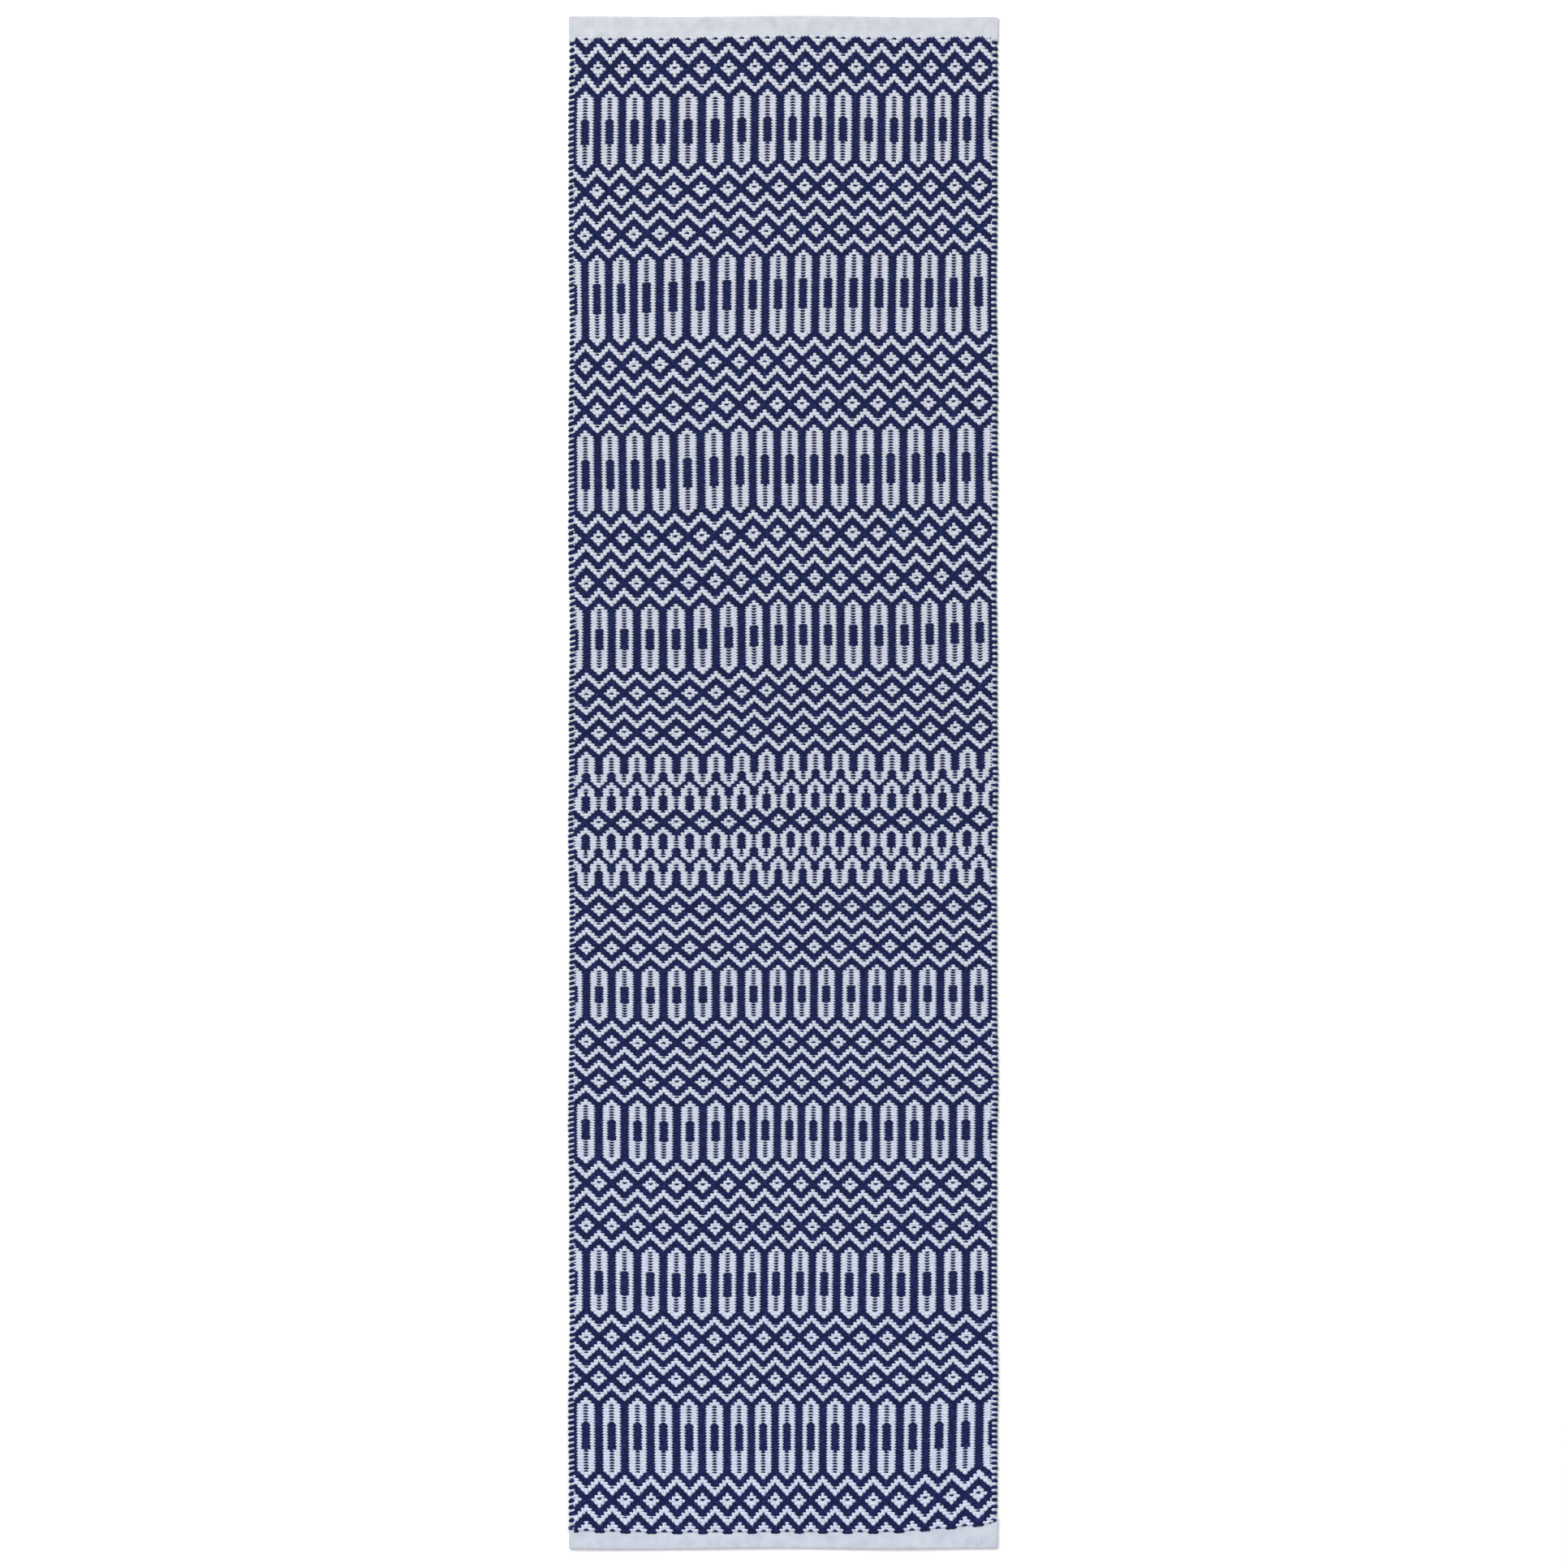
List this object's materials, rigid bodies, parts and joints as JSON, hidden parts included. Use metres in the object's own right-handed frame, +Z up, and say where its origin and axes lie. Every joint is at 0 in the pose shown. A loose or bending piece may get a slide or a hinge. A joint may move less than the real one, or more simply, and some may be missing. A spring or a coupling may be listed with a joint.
{
  "type": "runner rug",
  "caption": "Long narrow flat-woven cotton runner rug for a hall floor, navy and white zigzag, diamond and long lozenge pattern, with plain white stitched-under ends.",
  "frame": {"origin": "centre of the rug on the floor side", "axes": "+X across the rug, +Y along its length towards the head end, +Z up out of the face"},
  "size_m": [0.7, 2.5, 0.006],
  "materials": {
    "navy_yarn": "matt",
    "white_yarn": "matt",
    "warp_yarn": "matt",
    "heading_cloth": "matt",
    "hem_thread": "satin"
  },
  "bodies": {
    "root": {"warp_cords": "warp_yarn", "left_selvedge_cord": "warp_yarn", "right_selvedge_cord": "warp_yarn", "navy_weft": "navy_yarn", "white_weft": "white_yarn", "head_heading": "heading_cloth", "foot_heading": "heading_cloth", "head_hem_stitches": "hem_thread", "foot_hem_stitches": "hem_thread"}
  },
  "joints": []
}
